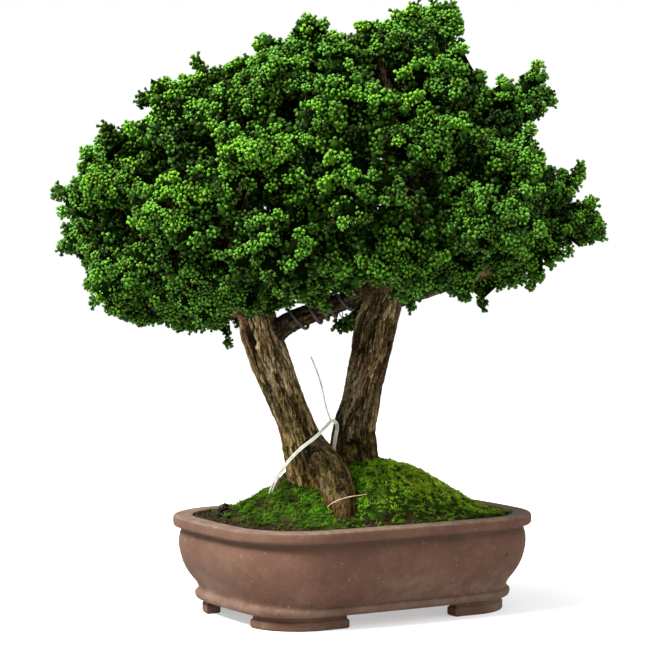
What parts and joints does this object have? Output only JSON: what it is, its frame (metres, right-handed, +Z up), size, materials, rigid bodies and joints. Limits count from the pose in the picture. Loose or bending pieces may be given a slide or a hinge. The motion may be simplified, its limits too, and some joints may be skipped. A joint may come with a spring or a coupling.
{
  "type": "bonsai tree",
  "caption": "Hinoki cypress bonsai with twin trunks, a dense crown of fan-shaped foliage and a mossy mound, in an unglazed oval-cornered clay pot on feet.",
  "frame": {"origin": "middle of the whole object seen from above, on the surface that the pot's feet stand on", "axes": "+X along the pot's long side, +Z up"},
  "size_m": [0.5082, 0.4716, 0.5872],
  "materials": {
    "clay": "matte",
    "soil": "matte",
    "moss": "matte",
    "bark": "matte",
    "foliage": "matte",
    "tie_wire": "satin",
    "training_wire": "satin",
    "straw": "matte",
    "drain_screen": "matte"
  },
  "bodies": {
    "root": {"pot": "clay", "drain_screen_left": "drain_screen", "drain_screen_right": "drain_screen", "soil": "soil", "moss": "moss", "twin_trunk_wood": "bark", "tie_wire": "tie_wire", "training_wire": "training_wire", "dry_stalk": "straw", "foliage_pad_01": "foliage", "foliage_pad_02": "foliage", "foliage_pad_03": "foliage", "foliage_pad_04": "foliage", "foliage_pad_05": "foliage", "foliage_pad_06": "foliage", "foliage_pad_07": "foliage", "foliage_pad_08": "foliage", "foliage_pad_09": "foliage", "foliage_pad_10": "foliage", "foliage_pad_11": "foliage", "foliage_pad_12": "foliage", "foliage_pad_13": "foliage", "foliage_pad_14": "foliage", "foliage_pad_15": "foliage", "foliage_pad_16": "foliage", "foliage_pad_17": "foliage", "foliage_pad_18": "foliage", "foliage_pad_19": "foliage", "foliage_pad_20": "foliage", "foliage_pad_21": "foliage", "foliage_pad_22": "foliage", "foliage_pad_23": "foliage", "foliage_pad_24": "foliage", "foliage_pad_25": "foliage", "foliage_pad_26": "foliage", "foliage_pad_27": "foliage", "foliage_pad_28": "foliage", "foliage_pad_29": "foliage", "foliage_pad_30": "foliage", "foliage_pad_31": "foliage", "foliage_pad_32": "foliage", "foliage_pad_33": "foliage", "foliage_pad_34": "foliage", "foliage_pad_35": "foliage", "foliage_pad_36": "foliage", "foliage_pad_37": "foliage", "foliage_pad_38": "foliage", "foliage_pad_39": "foliage", "foliage_pad_40": "foliage", "foliage_pad_41": "foliage", "foliage_pad_42": "foliage", "foliage_pad_43": "foliage", "foliage_pad_44": "foliage", "foliage_pad_45": "foliage", "foliage_pad_46": "foliage", "foliage_pad_47": "foliage"}
  },
  "joints": []
}
